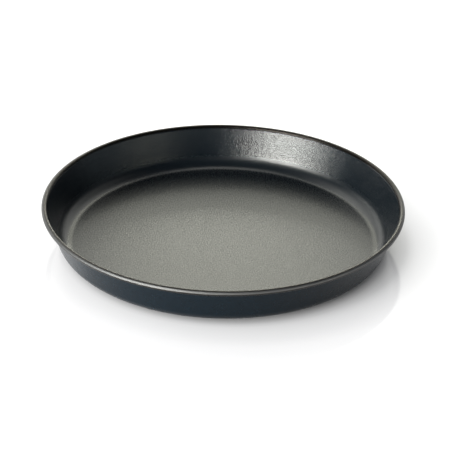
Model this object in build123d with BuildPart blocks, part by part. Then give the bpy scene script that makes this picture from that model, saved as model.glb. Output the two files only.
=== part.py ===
from build123d import *
import os
from math import acos, asin, atan2, cos, degrees, hypot, radians, sin, sqrt

# A round pizza pan pressed from one sheet of steel. Its rim is rolled outwards round a wire, it has
# a textured non-stick coating inside and a smooth lacquer outside.
# Lengths are millimetres. Z is the pan's own axis, and the surface that it stands on is at zero.

# Overall shape
rim_diameter = 280.0  # outside the rolled rim
pan_height = 33.5  # from the table to the top of the rolled rim
floor_diameter = 233.0  # the flat of the floor, inside the rounded corner
corner_radius = 12.0  # between floor and wall, on the inside

# Sheet and its two coatings
sheet_thickness = 0.6
nonstick_thickness = 0.15
lacquer_thickness = 0.15

# Rolled rim
wire_diameter = 2.5
wire_clearance = 0.05  # between the wire and the sheet curled round it
curl_mouth = 0.3  # slit between the sheet's cut edge and the lacquered wall
lacquer_to_wire = 0.2  # the lacquer stops this far from the wire

# The sections are drawn in one upright plane through the axis and turned all the way round. The seam
# that a turned surface has lies in that plane, clear of the X and Y axes.
seam_angle = 8.0  # from +X towards +Y
seam_direction = (cos(radians(seam_angle)), sin(radians(seam_angle)), 0)
seam_normal = (sin(radians(seam_angle)), -cos(radians(seam_angle)), 0)
section_plane = Plane((0, 0, 0), x_dir=seam_direction, z_dir=seam_normal)

# Levels in the sheet, counted from its underside, which is also their height under the floor
steel_level = lacquer_thickness
nonstick_level = steel_level + sheet_thickness
floor_level = nonstick_level + nonstick_thickness

# Rolled rim: the curl's radii and where its centre lies, as radius and height
wire_radius = wire_diameter / 2
curl_inner_radius = wire_radius + wire_clearance
bead_radius = curl_inner_radius + sheet_thickness + nonstick_thickness
bead_centre = (rim_diameter / 2 - bead_radius, pan_height - bead_radius)

# Rounded corner between floor and wall
corner_outer_radius = corner_radius + floor_level
corner_centre = (floor_diameter / 2, corner_outer_radius)

# The straight wall is the tangent that runs up from the outside of the corner to the inside of the
# curl, so its slope follows from the two centres and the two radii.
centres_run = bead_centre[0] - corner_centre[0]
centres_rise = bead_centre[1] - corner_centre[1]
crossed_radii = corner_outer_radius - steel_level + curl_inner_radius
centres_slope = atan2(centres_rise, centres_run)
wall_slope = centres_slope + asin(crossed_radii / hypot(centres_run, centres_rise))
wall_slope_degrees = degrees(wall_slope)

# The curl goes on until its cut edge almost meets the wall again.
mouth_radius = curl_inner_radius - lacquer_thickness - curl_mouth
curl_turn = 360 - degrees(acos(mouth_radius / bead_radius))

# The lacquer ends inside the mouth of the curl, below the point where the wall meets the curl.
lacquer_face_radius = curl_inner_radius - lacquer_thickness
lacquer_drop = sqrt((wire_radius + lacquer_to_wire) ** 2 - lacquer_face_radius**2)


def curl_radius(level):
    """Radius about the bead's centre of the face at this level of the sheet."""
    return curl_inner_radius + level - steel_level


def wall_top(level, drop):
    """Point on the wall's face at this level, this far down the wall from where the curl starts."""
    across = curl_radius(level)
    radius = bead_centre[0] - across * sin(wall_slope) - drop * cos(wall_slope)
    height = bead_centre[1] + across * cos(wall_slope) - drop * sin(wall_slope)
    return (radius, height)


def floor_and_corner(level):
    """Draw the flat floor and the rounded corner of the face at this level, and give its top end."""
    corner = CenterArc(corner_centre, corner_outer_radius - level, -90, wall_slope_degrees)
    Line((0, level), corner @ 0)
    return corner @ 1


def rolled_face(level):
    """Draw the whole face at this level, from the axis to the cut edge, and give its end there."""
    corner_end = floor_and_corner(level)
    curl = CenterArc(bead_centre, curl_radius(level), 90 + wall_slope_degrees, -curl_turn)
    Line(corner_end, curl @ 0)
    return curl @ 1


def plain_face(level, drop):
    """Draw the face at this level from the axis up the wall, stopping below the curl."""
    end = wall_top(level, drop)
    Line(floor_and_corner(level), end)
    return end


# Pressed steel sheet with its rolled rim
with BuildPart() as pan_shell:
    with BuildSketch(section_plane):
        with BuildLine():
            Line(rolled_face(steel_level), rolled_face(nonstick_level))
            Line((0, steel_level), (0, nonstick_level))
        make_face()
    revolve(axis=Axis.Z)

# Steel wire inside the rolled rim
with BuildPart() as rim_wire:
    with BuildSketch(section_plane):
        with Locations(bead_centre):
            Circle(wire_radius)
    revolve(axis=Axis.Z)

# Textured non-stick coating: floor, corner, wall and all round the bead
with BuildPart() as nonstick_coating:
    with BuildSketch(section_plane):
        with BuildLine():
            Line(rolled_face(nonstick_level), rolled_face(floor_level))
            Line((0, nonstick_level), (0, floor_level))
        make_face()
    revolve(axis=Axis.Z)

# Smooth lacquer: underside, corner and the outside of the wall
with BuildPart() as outer_lacquer:
    with BuildSketch(section_plane):
        with BuildLine():
            Line(plain_face(0, lacquer_drop), plain_face(steel_level, lacquer_drop))
            Line((0, 0), (0, steel_level))
        make_face()
    revolve(axis=Axis.Z)

pan_shell.part.label = "pan_shell"
rim_wire.part.label = "rim_wire"
nonstick_coating.part.label = "nonstick_coating"
outer_lacquer.part.label = "outer_lacquer"

os.makedirs("parts", exist_ok=True)
export_step(pan_shell.part, "parts/pan_shell.step")
export_step(rim_wire.part, "parts/rim_wire.step")
export_step(nonstick_coating.part, "parts/nonstick_coating.step")
export_step(outer_lacquer.part, "parts/outer_lacquer.step")
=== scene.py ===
from math import acos, asin, atan2, cos, hypot, pi, radians, sin, sqrt, tan

import bpy
from mathutils import Matrix, Vector


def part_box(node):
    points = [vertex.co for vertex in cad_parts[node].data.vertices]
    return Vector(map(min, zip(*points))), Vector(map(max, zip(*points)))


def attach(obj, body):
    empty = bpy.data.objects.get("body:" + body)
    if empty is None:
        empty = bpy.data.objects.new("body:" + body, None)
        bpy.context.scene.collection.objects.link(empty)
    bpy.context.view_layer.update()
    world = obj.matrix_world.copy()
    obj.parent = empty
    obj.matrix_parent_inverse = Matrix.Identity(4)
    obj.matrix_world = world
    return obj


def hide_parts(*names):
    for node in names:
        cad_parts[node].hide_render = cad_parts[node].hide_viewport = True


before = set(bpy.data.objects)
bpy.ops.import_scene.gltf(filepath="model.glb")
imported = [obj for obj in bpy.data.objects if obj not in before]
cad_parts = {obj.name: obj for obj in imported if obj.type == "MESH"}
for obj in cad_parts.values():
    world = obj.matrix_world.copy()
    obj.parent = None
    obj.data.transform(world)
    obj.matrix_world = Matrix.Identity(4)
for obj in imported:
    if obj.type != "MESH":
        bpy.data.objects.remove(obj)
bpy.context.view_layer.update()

# A round pizza pan on a pale glossy table. Lengths are metres, Z is the pan's axis.
MM = 0.001

# Sizes of the pan: overall ones from the frame, sheet and corner as the solids have them.
low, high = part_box("nonstick_coating")
RIM_RADIUS = min(high[0], high[1], -low[0], -low[1])
PAN_HEIGHT = high[2]
FLOOR_RADIUS = 116.5 * MM
CORNER_RADIUS = 12.0 * MM
SHEET = 0.6 * MM
COATING = 0.15 * MM
LACQUER = 0.15 * MM
WIRE_RADIUS = 1.25 * MM
WIRE_CLEARANCE = 0.05 * MM
CURL_MOUTH = 0.3 * MM
LACQUER_TO_WIRE = 0.2 * MM

# How finely the surfaces are cut. The floor's rings lie at these shares of its radius, closer together
# towards its edge, and edges with a sharper turn than SHARP_TURN aren't smoothed.
RING_STEPS = 480
CORNER_STEPS = 30
WALL_STEPS = 8
CURL_STEPS = 48
WIRE_STEPS = 32
FLOOR_SHARES = (0.0, 0.02, 0.1, 0.25, 0.4, 0.55, 0.7, 0.82, 0.9, 0.95, 0.98, 0.995)
SHARP_TURN = radians(50)

# Nearly all values of a noise lie between these two.
NOISE_LOW = 0.3
NOISE_HIGH = 0.7

# Non-stick film: the two tones of its grain, those of the bead where it is plain and where it is rubbed, and
# the roughness by height in metres, for floor, corner and wall.
FILM_TONES = ((0.002, 0.0045, 0.007), (0.005, 0.008, 0.011))
BEAD_TONES = ((0.022, 0.02, 0.018), (0.13, 0.13, 0.13))
FILM_SPECULAR = 0.5
FILM_ROUGHNESS = (
    (0.0, 0.25), (0.00092, 0.27), (0.001, 0.44), (0.0017, 0.44), (0.0035, 0.35), (0.006, 0.36),
    (0.0086, 0.32), (0.0105, 0.22), (0.04, 0.22),
)
GRAIN_ROUGHNESS = 0.025
BEAD_ROUGHER = 0.07
RUBBED_ROUGHER = 0.3

# Grain of the film: a fine and a coarse noise, in cells per metre, and how far each pushes the surface up or
# down, in units of GRAIN_DEPTH. Both are weaker on the floor and the bead than on the wall.
FINE_CELLS = 1000
FINE_PUSH = 0.5
COARSE_CELLS = 330
COARSE_PUSH = 0.3
GRAIN_DEPTH = 0.14 * MM
FLOOR_GRAIN = 0.3
FLOOR_GRAIN_TOP = 1.5 * MM
WALL_GRAIN = 1.75
WALL_GRAIN_FROM = 14 * MM
BEAD_GRAIN = 0.08

# The bead's look is full inside the first of these squared distances from its centre, in squares of its
# radius, and gone beyond the second.
BEAD_FULL = 1.02
BEAD_GONE = 1.2

# The bead is rubbed most at this angle from straight up, outwards. The other two are distances from its
# centre in that direction, in bead radii, where the rubbing starts and where it is full.
SHOULDER = radians(60)
SHOULDER_FROM = 0.72
SHOULDER_FULL = 0.98

# The wall's bend away just below the bead: its size in units of GRAIN_DEPTH, and its reach in bead radii.
BEND = 1.3
BEND_REACH = 0.6

# Lacquer outside: its tones and roughness, and cells per metre of its orange peel and its duller places.
LACQUER_TONES = ((0.001, 0.005, 0.009), (0.002, 0.007, 0.012))
LACQUER_ROUGHNESS = (0.24, 0.3)
LACQUER_SPECULAR = 0.15
PEEL_CELLS = 260
PEEL_DEPTH = 0.03 * MM
DULL_CELLS = 60

# Steel of the sheet and the wire, with a fine mottle.
STEEL_TONES = ((0.42, 0.42, 0.43), (0.56, 0.56, 0.57))
STEEL_ROUGHNESS = (0.28, 0.42)
MOTTLE_CELLS = 900
MOTTLE_DEPTH = 0.01 * MM

# Table, just under the pan so that the two don't touch.
TABLE_HALF = 8.0
TABLE_GAP = 0.05 * MM
TABLE_COLOR = (0.35, 0.345, 0.36)
TABLE_ROUGHNESS = 0.1
TABLE_SPECULAR = 0.8

# How far the table is lifted to white, by distance in metres from the middle of the pan's shade, and from
# the middle of its foot. The two are multiplied. The lift is least near the pan, which paints a cast shadow
# to the pan's right and a contact shadow at its foot.
PAINTED_SHADOW_MIDDLE = (14 * MM, 5 * MM, 0)
PAINTED_SHADOW_LIFT = (
    (0.112, 0.19), (0.12, 0.25), (0.128, 0.33), (0.135, 0.5), (0.142, 0.58), (0.165, 0.74), (0.3, 0.85),
)
PAINTED_CONTACT_SHADOW_MIDDLE = (3 * MM, 0, 0)
PAINTED_CONTACT_SHADOW_LIFT = ((0.12, 0.2), (0.124, 0.5), (0.128, 0.85), (0.132, 1.0), (0.3, 1.0))

# Studio: its colours at the horizon and overhead, and the sines of the two elevations between which one
# turns into the other.
HORIZON_COLOR = (0.45, 0.45, 0.45, 1.0)
HORIZON_TOP = 0.02
OVERHEAD_COLOR = (0.022, 0.033, 0.05, 1.0)
OVERHEAD_FROM = 0.12
WHITE = (1.0, 1.0, 1.0, 1.0)

# Lamps all stand at one distance from the pan. Each fills a span of azimuth, counted leftwards from the
# camera's side, and a span of elevation, both in degrees, and has a radiance and a colour. All radiances are
# multiplied by LAMP_LEVEL.
LAMP_DISTANCE = 1.2
LAMP_LEVEL = 1.15
NEUTRAL = (1.0, 1.0, 0.95)
WARM = (1.0, 1.0, 0.87)
COOL = (0.8, 0.95, 1.0)
LAMPS = {
    "key": ((23, 69), (7, 19.5), 17.5, NEUTRAL),
    "key_core": ((26, 57), (7, 19), 21.0, NEUTRAL),
    "key_below": ((45, 84), (0, 8), 4.4, COOL),
    "front": ((-20, 22), (0, 6), 2.1, NEUTRAL),
    "front_right": ((293, 325), (0, 12), 2.6, WARM),
    "right": ((250, 292), (5, 13), 0.8, COOL),
    "horizon_back_left": ((132, 174), (0, 11), 1.0, NEUTRAL),
    "horizon_back_right": ((186, 222), (0, 11), 0.7, NEUTRAL),
    "strip_low": ((173, 187), (12, 20), 10.0, WARM),
    "strip_middle": ((170, 193), (20, 28), 1.4, WARM),
    "strip_upper": ((169, 193), (28, 38), 2.9, WARM),
    "strip_high": ((169, 191), (38, 52), 3.9, WARM),
    "strip_top": ((160, 195), (52, 76), 2.1, NEUTRAL),
    "back_left_low": ((112, 172), (12, 20), 3.6, NEUTRAL),
    "back_left": ((112, 168), (20, 37), 1.0, NEUTRAL),
    "back_left_inner": ((148, 169), (20, 28), 0.4, NEUTRAL),
    "back_left_high": ((122, 168), (37, 52), 2.6, NEUTRAL),
    "left_high": ((95, 122), (40, 60), 0.9, NEUTRAL),
    "back_right_low": ((188, 228), (12, 23), 1.8, NEUTRAL),
    "back_right": ((193, 216), (23, 36), 1.1, NEUTRAL),
    "back_right_high": ((192, 218), (36, 52), 1.2, NEUTRAL),
    "right_high": ((222, 262), (22, 50), 0.5, NEUTRAL),
}

# The photo's camera: a long lens, about 29 degrees above the table and rolled by a degree.
CAMERA_DISTANCE = 1484.7 * MM
CAMERA_ELEVATION = radians(28.664)
CAMERA_ROLL = radians(0.989)
CAMERA_AIM = Vector((1.62 * MM, 23.49 * MM, 0))
FOCAL_PIXELS = 1903
PHOTO_PIXELS = 450
SENSOR_MM = 36.0
VIEW_END = 100

# Levels in the sheet above its underside, and the curl and corner that they share. A centre is given as its
# radius from the axis and its height.
STEEL_LEVEL = LACQUER
COATING_LEVEL = STEEL_LEVEL + SHEET
FLOOR_LEVEL = COATING_LEVEL + COATING
CURL_RADIUS = WIRE_RADIUS + WIRE_CLEARANCE
BEAD_RADIUS = CURL_RADIUS + SHEET + COATING
BEAD = (RIM_RADIUS - BEAD_RADIUS, PAN_HEIGHT - BEAD_RADIUS)
CORNER_OUTER = CORNER_RADIUS + FLOOR_LEVEL
CORNER = (FLOOR_RADIUS, CORNER_OUTER)
RUN = BEAD[0] - CORNER[0]
RISE = BEAD[1] - CORNER[1]
SLOPE = atan2(RISE, RUN) + asin((CORNER_OUTER - STEEL_LEVEL + CURL_RADIUS) / hypot(RUN, RISE))
CURL_TURN = 2 * pi - acos((CURL_RADIUS - LACQUER - CURL_MOUTH) / BEAD_RADIUS)
LACQUER_DROP = sqrt((WIRE_RADIUS + LACQUER_TO_WIRE) ** 2 - (CURL_RADIUS - LACQUER) ** 2)


def arc(centre, radius, start, turn, steps):
    """Points along an arc, as (radius from the axis, height)."""
    points = []
    for i in range(steps + 1):
        angle = start + turn * i / steps
        points.append((centre[0] + radius * cos(angle), centre[1] + radius * sin(angle)))
    return points


def straight(a, b):
    """Points along the straight wall between its two ends, without the ends."""
    steps = WALL_STEPS
    return [(a[0] + (b[0] - a[0]) * i / steps, a[1] + (b[1] - a[1]) * i / steps) for i in range(1, steps)]


def sheet_face(level, drop=None):
    """Section of the sheet's face at a level: floor, corner, wall, then the curl unless drop is given."""
    points = [(FLOOR_RADIUS * share, level) for share in FLOOR_SHARES]
    points += arc(CORNER, CORNER_OUTER - level, -pi / 2, SLOPE, CORNER_STEPS)
    across = CURL_RADIUS + level - STEEL_LEVEL
    if drop is None:
        curl = arc(BEAD, across, SLOPE + pi / 2, -CURL_TURN, CURL_STEPS)
        return points + straight(points[-1], curl[0]) + curl
    end = (
        BEAD[0] - across * sin(SLOPE) - drop * cos(SLOPE),
        BEAD[1] + across * cos(SLOPE) - drop * sin(SLOPE),
    )
    return points + straight(points[-1], end) + [end]


def spun(name, section, closed_ring=False):
    """A closed mesh made by turning a section about the pan's axis."""
    vertices = []
    rings = []
    for radius, height in section:
        if radius == 0:
            rings.append([len(vertices)])
            vertices.append((0, 0, height))
            continue
        rings.append(list(range(len(vertices), len(vertices) + RING_STEPS)))
        for i in range(RING_STEPS):
            angle = 2 * pi * i / RING_STEPS
            vertices.append((radius * cos(angle), radius * sin(angle), height))
    pairs = list(zip(rings, rings[1:]))
    if closed_ring:
        pairs.append((rings[-1], rings[0]))
    faces = []
    for a, b in pairs:
        for i in range(RING_STEPS):
            j = (i + 1) % RING_STEPS
            if len(a) == 1:
                faces.append((a[0], b[i], b[j]))
            elif len(b) == 1:
                faces.append((a[i], b[0], a[j]))
            else:
                faces.append((a[i], b[i], b[j], a[j]))
    mesh = bpy.data.meshes.new(name)
    mesh.from_pydata(vertices, [], faces)
    mesh.validate()
    mesh.shade_smooth()
    mesh.set_sharp_from_angle(angle=SHARP_TURN)
    piece = bpy.data.objects.new(name, mesh)
    bpy.context.collection.objects.link(piece)
    return piece


def layer(name, lower, upper):
    """One layer of the sheet, between two of its faces."""
    return spun(name, lower + upper[::-1])


class Shader:
    """A material's node tree, with short calls to add and link nodes."""

    def __init__(self, name):
        self.material = bpy.data.materials.new(name)
        self.material.use_nodes = True
        self.tree = self.material.node_tree
        self.tree.nodes.clear()
        self.output = self.add("ShaderNodeOutputMaterial")

    def add(self, kind, **settings):
        """A new node with these settings."""
        node = self.tree.nodes.new(kind)
        for key, value in settings.items():
            setattr(node, key, value)
        return node

    def link(self, out, socket):
        """Feeds one node's output into another node's input."""
        self.tree.links.new(out, socket)

    def place(self):
        """The shaded point, in the piece's own coordinates."""
        return self.add("ShaderNodeTexCoord").outputs["Object"]

    def coordinates(self):
        """The shaded point's X, Y and Z."""
        node = self.add("ShaderNodeSeparateXYZ")
        self.link(self.place(), node.inputs["Vector"])
        return node.outputs["X"], node.outputs["Y"], node.outputs["Z"]

    def distance(self, centre):
        """The shaded point's distance from a fixed one."""
        node = self.add("ShaderNodeVectorMath", operation="DISTANCE")
        self.link(self.place(), node.inputs[0])
        node.inputs[1].default_value = centre
        return node.outputs["Value"]

    def noise(self, cells, detail, roughness):
        """A noise with this many cells per metre."""
        node = self.add("ShaderNodeTexNoise")
        node.inputs["Scale"].default_value = cells
        node.inputs["Detail"].default_value = detail
        node.inputs["Roughness"].default_value = roughness
        self.link(self.place(), node.inputs["Vector"])
        return node.outputs["Fac"]

    def span(self, value, from_low, from_high, to_low, to_high):
        """Maps one span of values evenly onto another, and holds its ends beyond them."""
        node = self.add("ShaderNodeMapRange")
        self.link(value, node.inputs["Value"])
        node.inputs["From Min"].default_value = from_low
        node.inputs["From Max"].default_value = from_high
        node.inputs["To Min"].default_value = to_low
        node.inputs["To Max"].default_value = to_high
        return node.outputs["Result"]

    def spread(self, noise, to_low, to_high):
        """Maps the values that a noise has onto a span."""
        return self.span(noise, NOISE_LOW, NOISE_HIGH, to_low, to_high)

    def math(self, operation, a, b):
        """A sum, product or the like of two values, each a number or an output."""
        node = self.add("ShaderNodeMath", operation=operation)
        for value, socket in ((a, node.inputs[0]), (b, node.inputs[1])):
            if isinstance(value, (int, float)):
                socket.default_value = value
            else:
                self.link(value, socket)
        return node.outputs["Value"]

    def squares(self, a, b):
        """The sum of two values' squares."""
        return self.math("ADD", self.math("MULTIPLY", a, a), self.math("MULTIPLY", b, b))

    def root(self, value):
        """The square root of a value."""
        return self.math("POWER", value, 0.5)

    def ramp(self, value, stops):
        """A grey level that runs through the stops, each a value and its level."""
        node = self.add("ShaderNodeValToRGB")
        self.link(value, node.inputs["Fac"])
        elements = node.color_ramp.elements
        for position, level in stops:
            elements.new(position).color = (level, level, level, 1.0)
        elements.remove(elements[0])
        elements.remove(elements[-1])
        return node.outputs["Color"]

    def mix(self, factor, a, b):
        """A colour between a, at factor 0, and b, at factor 1."""
        node = self.add("ShaderNodeMix", data_type="RGBA")
        self.link(factor, node.inputs["Factor"])
        for value, socket in ((a, node.inputs["A"]), (b, node.inputs["B"])):
            if isinstance(value, tuple):
                socket.default_value = (*value, 1.0)
            else:
                self.link(value, socket)
        return node.outputs["Result"]

    def bump(self, height, distance):
        """The normal of a surface that is raised by a height, counted in units of distance."""
        node = self.add("ShaderNodeBump")
        node.inputs["Strength"].default_value = 1.0
        node.inputs["Distance"].default_value = distance
        self.link(height, node.inputs["Height"])
        return node.outputs["Normal"]

    def surface(self, color, roughness, normal=None, **inputs):
        """The surface's own shading. Further inputs have the node's own names, with _ for a space."""
        node = self.add("ShaderNodeBsdfPrincipled")
        if normal is not None:
            self.link(normal, node.inputs["Normal"])
        inputs.update(Base_Color=color, Roughness=roughness)
        for key, value in inputs.items():
            socket = node.inputs[key.replace("_", " ")]
            if isinstance(value, tuple):
                socket.default_value = (*value, 1.0)
            elif isinstance(value, (int, float)):
                socket.default_value = value
            else:
                self.link(value, socket)
        self.link(node.outputs["BSDF"], self.output.inputs["Surface"])
        return node


def nonstick_material():
    """Near-black non-stick coating: a sprayed grain that breaks a highlight into sparkles, and a worn rim."""
    s = Shader("nonstick")
    x, y, height = s.coordinates()
    off_axis = s.root(s.squares(x, y))

    # Place about the bead's centre, in bead radii. The bead's outer shoulder is rubbed bare of its sheen.
    outward = s.math("DIVIDE", s.math("SUBTRACT", off_axis, BEAD[0]), BEAD_RADIUS)
    upward = s.math("DIVIDE", s.math("SUBTRACT", height, BEAD[1]), BEAD_RADIUS)
    from_bead = s.squares(outward, upward)
    on_bead = s.span(from_bead, BEAD_FULL, BEAD_GONE, 1, 0)
    below_bead = s.root(s.math("MAXIMUM", s.math("SUBTRACT", from_bead, 1), 0))
    shoulder = s.math(
        "ADD", s.math("MULTIPLY", outward, sin(SHOULDER)), s.math("MULTIPLY", upward, cos(SHOULDER))
    )
    rubbed = s.span(shoulder, SHOULDER_FROM, SHOULDER_FULL, 0, 1)

    # The grain lies flatter on the floor than on the wall, and hardly shows on the bead. Just below the bead
    # the wall starts to bend away.
    grain = s.noise(FINE_CELLS, 2.0, 0.6)
    coarse = s.noise(COARSE_CELLS, 1.0, 0.5)
    fine_part = s.span(grain, 0, 1, -FINE_PUSH, FINE_PUSH)
    relief = s.math("ADD", fine_part, s.span(coarse, 0, 1, -COARSE_PUSH, COARSE_PUSH))
    by_height = s.span(height, FLOOR_GRAIN_TOP, WALL_GRAIN_FROM, FLOOR_GRAIN, WALL_GRAIN)
    depth = s.math("MULTIPLY", by_height, s.span(on_bead, 0, 1, 1, BEAD_GRAIN))
    bend = s.span(below_bead, 0, BEND_REACH, -BEND, 0)
    normal = s.bump(s.math("ADD", s.math("MULTIPLY", relief, depth), bend), GRAIN_DEPTH)

    film = s.mix(s.spread(grain, 0, 1), *FILM_TONES)
    bead = s.mix(rubbed, *BEAD_TONES)
    color = s.mix(on_bead, film, bead)
    by_grain = s.span(grain, 0.35, 0.65, -GRAIN_ROUGHNESS, GRAIN_ROUGHNESS)
    roughness = s.math("ADD", by_grain, s.ramp(height, FILM_ROUGHNESS))
    roughness = s.math("ADD", roughness, s.span(on_bead, 0, 1, 0, BEAD_ROUGHER))
    roughness = s.math("ADD", roughness, s.span(rubbed, 0, 1, 0, RUBBED_ROUGHER))
    s.surface(color, roughness, normal, Metallic=on_bead, Specular_IOR_Level=FILM_SPECULAR)
    return s.material


def lacquer_material():
    """Smooth satin blue-black lacquer."""
    s = Shader("lacquer")
    peel = s.noise(PEEL_CELLS, 2.0, 0.5)
    color = s.mix(s.spread(peel, 0, 1), *LACQUER_TONES)
    roughness = s.spread(s.noise(DULL_CELLS, 3.0, 0.6), *LACQUER_ROUGHNESS)
    s.surface(color, roughness, s.bump(peel, PEEL_DEPTH), Specular_IOR_Level=LACQUER_SPECULAR)
    return s.material


def steel_material(name):
    """Plain rolled steel."""
    s = Shader(name)
    mottle = s.noise(MOTTLE_CELLS, 3.0, 0.6)
    color = s.mix(s.spread(mottle, 0, 1), *STEEL_TONES)
    roughness = s.spread(mottle, *STEEL_ROUGHNESS)
    s.surface(color, roughness, s.bump(mottle, MOTTLE_DEPTH), Metallic=1.0)
    return s.material


def table_material():
    """Pale glossy table, lifted to white where seen, least at the pan's foot and in its shade: painted
    shadow.
    """
    s = Shader("table")
    surface = s.surface(TABLE_COLOR, TABLE_ROUGHNESS, Specular_IOR_Level=TABLE_SPECULAR)
    path = s.add("ShaderNodeLightPath")
    seen = s.math("MAXIMUM", path.outputs["Is Camera Ray"], path.outputs["Is Glossy Ray"])
    seen = s.math("MAXIMUM", seen, path.outputs["Is Transmission Ray"])
    # Painted shadow: the lift falls off towards the pan, most to its right and at its foot.
    shade = s.ramp(s.distance(PAINTED_SHADOW_MIDDLE), PAINTED_SHADOW_LIFT)
    foot = s.ramp(s.distance(PAINTED_CONTACT_SHADOW_MIDDLE), PAINTED_CONTACT_SHADOW_LIFT)
    glow = s.add("ShaderNodeEmission")
    s.link(s.math("MULTIPLY", shade, foot), glow.inputs["Color"])
    s.link(seen, glow.inputs["Strength"])
    both = s.add("ShaderNodeAddShader")
    s.link(surface.outputs["BSDF"], both.inputs[0])
    s.link(glow.outputs["Emission"], both.inputs[1])
    s.link(both.outputs["Shader"], s.output.inputs["Surface"])
    return s.material


def dress(piece, material, node):
    """Gives a piece its material, hides the solid that it stands for, and lets it ride on the pan."""
    piece.data.materials.append(material)
    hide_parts(node)
    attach(piece, "root")


def build_pan():
    """The four pieces of the pan."""
    shell = layer("shell", sheet_face(STEEL_LEVEL), sheet_face(COATING_LEVEL))
    dress(shell, steel_material("sheet_steel"), "pan_shell")
    wire = spun("wire", arc(BEAD, WIRE_RADIUS, 0, 2 * pi, WIRE_STEPS)[:-1][::-1], closed_ring=True)
    dress(wire, steel_material("wire_steel"), "rim_wire")
    coating = layer("coating", sheet_face(COATING_LEVEL), sheet_face(FLOOR_LEVEL))
    dress(coating, nonstick_material(), "nonstick_coating")
    lacquer = layer("lacquer", sheet_face(0, LACQUER_DROP), sheet_face(STEEL_LEVEL, LACQUER_DROP))
    dress(lacquer, lacquer_material(), "outer_lacquer")


def build_table():
    """A wide table just under the pan."""
    half = TABLE_HALF
    mesh = bpy.data.meshes.new("table")
    corners = [(-half, -half, 0), (half, -half, 0), (half, half, 0), (-half, half, 0)]
    mesh.from_pydata(corners, [], [(0, 1, 2, 3)])
    table = bpy.data.objects.new("table", mesh)
    bpy.context.collection.objects.link(table)
    table.location.z = -TABLE_GAP
    table.data.materials.append(table_material())


def build_world():
    """A dim studio, pale near the horizon and dark overhead, which is seen as white."""
    world = bpy.data.worlds.new("studio")
    bpy.context.scene.world = world
    world.use_nodes = True
    tree = world.node_tree
    tree.nodes.clear()
    output = tree.nodes.new("ShaderNodeOutputWorld")
    background = tree.nodes.new("ShaderNodeBackground")
    tree.links.new(background.outputs["Background"], output.inputs["Surface"])
    ramp = tree.nodes.new("ShaderNodeValToRGB")
    place = tree.nodes.new("ShaderNodeTexCoord")
    parts = tree.nodes.new("ShaderNodeSeparateXYZ")
    tree.links.new(place.outputs["Generated"], parts.inputs["Vector"])
    tree.links.new(parts.outputs["Z"], ramp.inputs["Fac"])
    ramp.color_ramp.interpolation = "EASE"
    ramp.color_ramp.elements[0].position = HORIZON_TOP
    ramp.color_ramp.elements[0].color = HORIZON_COLOR
    ramp.color_ramp.elements[1].position = OVERHEAD_FROM
    ramp.color_ramp.elements[1].color = OVERHEAD_COLOR
    path = tree.nodes.new("ShaderNodeLightPath")
    seen = tree.nodes.new("ShaderNodeMath")
    seen.operation = "MAXIMUM"
    tree.links.new(path.outputs["Is Camera Ray"], seen.inputs[0])
    tree.links.new(path.outputs["Is Transmission Ray"], seen.inputs[1])
    white = tree.nodes.new("ShaderNodeMix")
    white.data_type = "RGBA"
    tree.links.new(seen.outputs["Value"], white.inputs["Factor"])
    tree.links.new(ramp.outputs["Color"], white.inputs["A"])
    white.inputs["B"].default_value = WHITE
    tree.links.new(white.outputs["Result"], background.inputs["Color"])
    background.inputs["Strength"].default_value = 1.0


def panel(name, azimuth, elevation, radiance, color):
    """A rectangular lamp aimed at the pan, over spans of azimuth and elevation in degrees."""
    a = radians(sum(azimuth) / 2)
    e = radians(sum(elevation) / 2)
    width = 2 * LAMP_DISTANCE * tan(radians(azimuth[1] - azimuth[0]) / 2) * cos(e)
    height = 2 * LAMP_DISTANCE * tan(radians(elevation[1] - elevation[0]) / 2)
    data = bpy.data.lights.new(name, "AREA")
    data.shape = "RECTANGLE"
    data.size = width
    data.size_y = height
    data.color = color
    data.energy = radiance * pi * width * height
    lamp = bpy.data.objects.new(name, data)
    bpy.context.collection.objects.link(lamp)
    lamp.location = Vector((-sin(a) * cos(e), -cos(a) * cos(e), sin(e))) * LAMP_DISTANCE
    lamp.rotation_euler = (-lamp.location).to_track_quat("-Z", "Y").to_euler()


def build_lamps():
    """Hangs every lamp of the studio."""
    for name, (azimuth, elevation, radiance, color) in LAMPS.items():
        panel(name, azimuth, elevation, radiance * LAMP_LEVEL, color)


def build_camera():
    """Sets up the photo's camera."""
    data = bpy.data.cameras.new("camera")
    data.sensor_width = SENSOR_MM
    data.lens = SENSOR_MM * FOCAL_PIXELS / PHOTO_PIXELS
    data.clip_end = VIEW_END
    camera = bpy.data.objects.new("camera", data)
    bpy.context.collection.objects.link(camera)
    place = Vector((0, -CAMERA_DISTANCE * cos(CAMERA_ELEVATION), CAMERA_DISTANCE * sin(CAMERA_ELEVATION)))
    forward = (CAMERA_AIM - place).normalized()
    right = forward.cross(Vector((0, 0, 1))).normalized()
    up = right.cross(forward)
    rolled_right = right * cos(CAMERA_ROLL) + up * sin(CAMERA_ROLL)
    rolled_up = up * cos(CAMERA_ROLL) - right * sin(CAMERA_ROLL)
    turn = Matrix((rolled_right, rolled_up, -forward)).transposed()
    camera.matrix_world = Matrix.Translation(place) @ turn.to_4x4()
    bpy.context.scene.camera = camera


build_pan()
build_table()
build_world()
build_lamps()
build_camera()
bpy.context.scene.view_settings.view_transform = "Standard"
